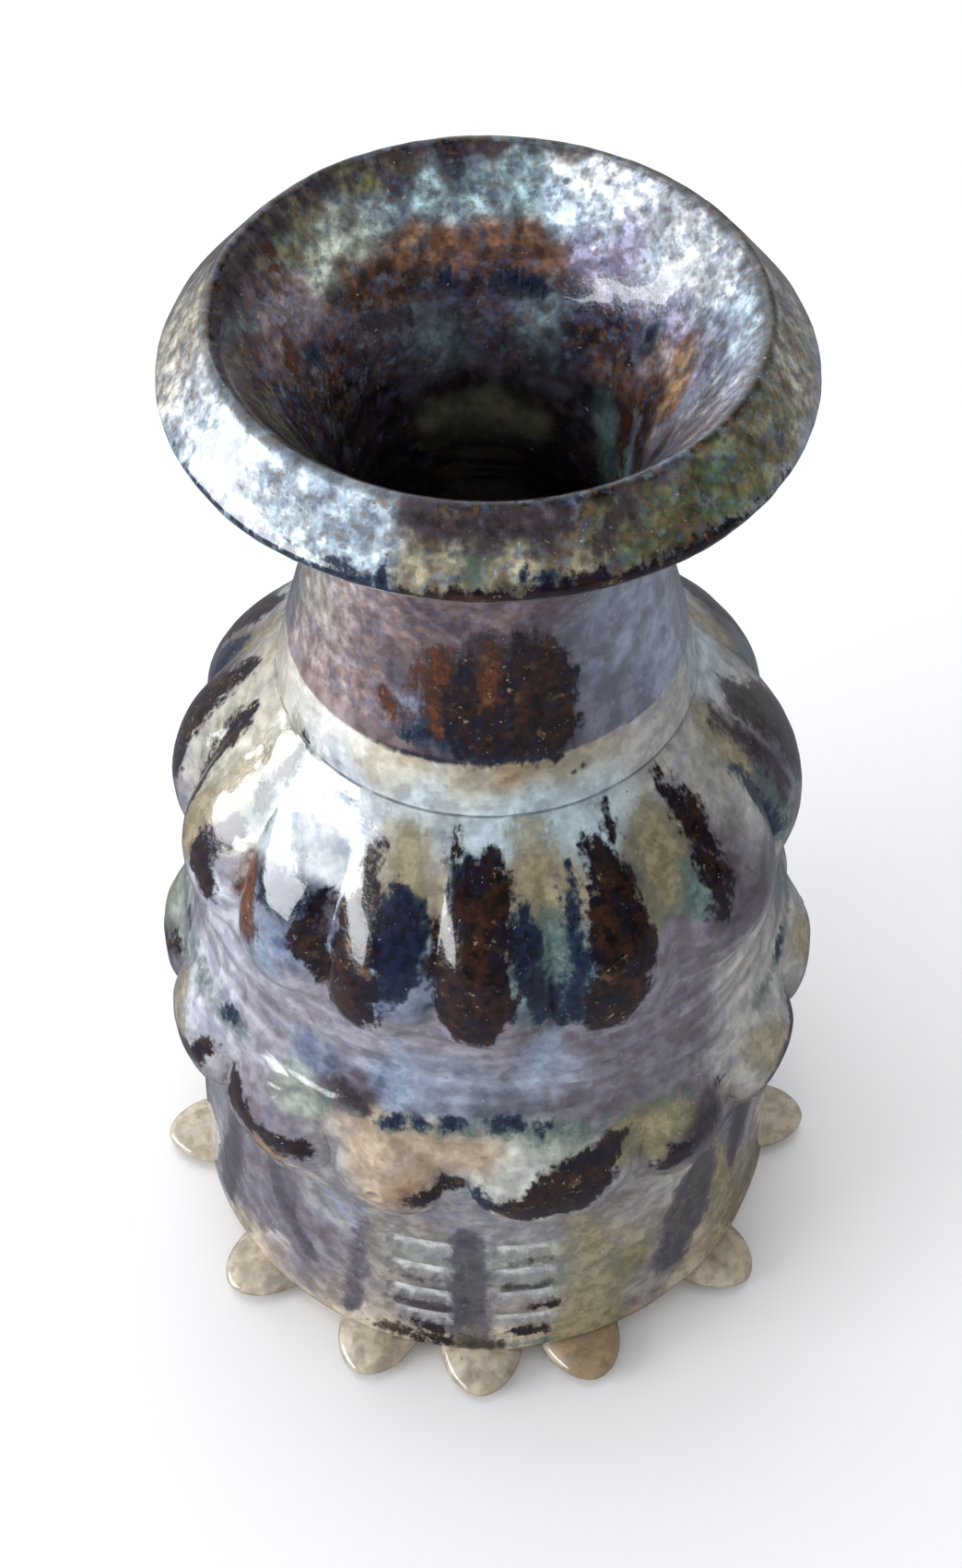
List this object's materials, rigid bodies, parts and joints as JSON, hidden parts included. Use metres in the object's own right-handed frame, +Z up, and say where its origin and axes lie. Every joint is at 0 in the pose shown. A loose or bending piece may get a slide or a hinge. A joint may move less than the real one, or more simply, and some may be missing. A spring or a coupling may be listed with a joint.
{
  "type": "bud vase",
  "caption": "Stoneware bud vase with a flared mouth, a narrow neck, a lobed shoulder, a belt of petal bosses and a foot set round with small knobs, for holding a few cut stems in water.",
  "frame": {"origin": "centre of the flat underside of the foot, which is the resting plane", "axes": "+Z up the vase's turning axis, -Y towards its front, +X to its right seen from the front"},
  "size_m": [0.0914, 0.0916, 0.15],
  "materials": {
    "neck_glaze": "glossy runny glaze: purple-brown and navy on the neck, pale blue and olive on the rim band, rust and teal bands inside the mouth",
    "shoulder_glaze": "glossy runny glaze: black-brown and navy stripes on the lobes between tan and teal runs, lavender grey below",
    "belt_glaze": "glossy lavender-grey glaze with teal and navy spots along its top",
    "drum_glaze": "glossy lavender-grey glaze, light blue pooled in the stamped rungs, dark purple uprights",
    "boss_glaze": "glossy tan, ochre and green glaze with dark brown strokes",
    "knob_glaze": "glossy tan to cream glaze with darker tips",
    "foot_clay": "unglazed buff stoneware, wiped and turned underneath"
  },
  "bodies": {
    "root": {"neck_and_lip": "neck_glaze", "shoulder_dome": "shoulder_glaze", "belt_ring": "belt_glaze", "lower_drum": "drum_glaze", "foot_disc": "foot_clay", "boss_01": "boss_glaze", "boss_02": "boss_glaze", "boss_03": "boss_glaze", "boss_04": "boss_glaze", "boss_05": "boss_glaze", "boss_06": "boss_glaze", "boss_07": "boss_glaze", "boss_08": "boss_glaze", "boss_09": "boss_glaze", "boss_10": "boss_glaze", "boss_11": "boss_glaze", "boss_12": "boss_glaze", "boss_13": "boss_glaze", "boss_14": "boss_glaze", "foot_knob_01": "knob_glaze", "foot_knob_02": "knob_glaze", "foot_knob_03": "knob_glaze", "foot_knob_04": "knob_glaze", "foot_knob_05": "knob_glaze", "foot_knob_06": "knob_glaze", "foot_knob_07": "knob_glaze", "foot_knob_08": "knob_glaze", "foot_knob_09": "knob_glaze", "foot_knob_10": "knob_glaze", "foot_knob_11": "knob_glaze", "foot_knob_12": "knob_glaze"}
  },
  "joints": []
}
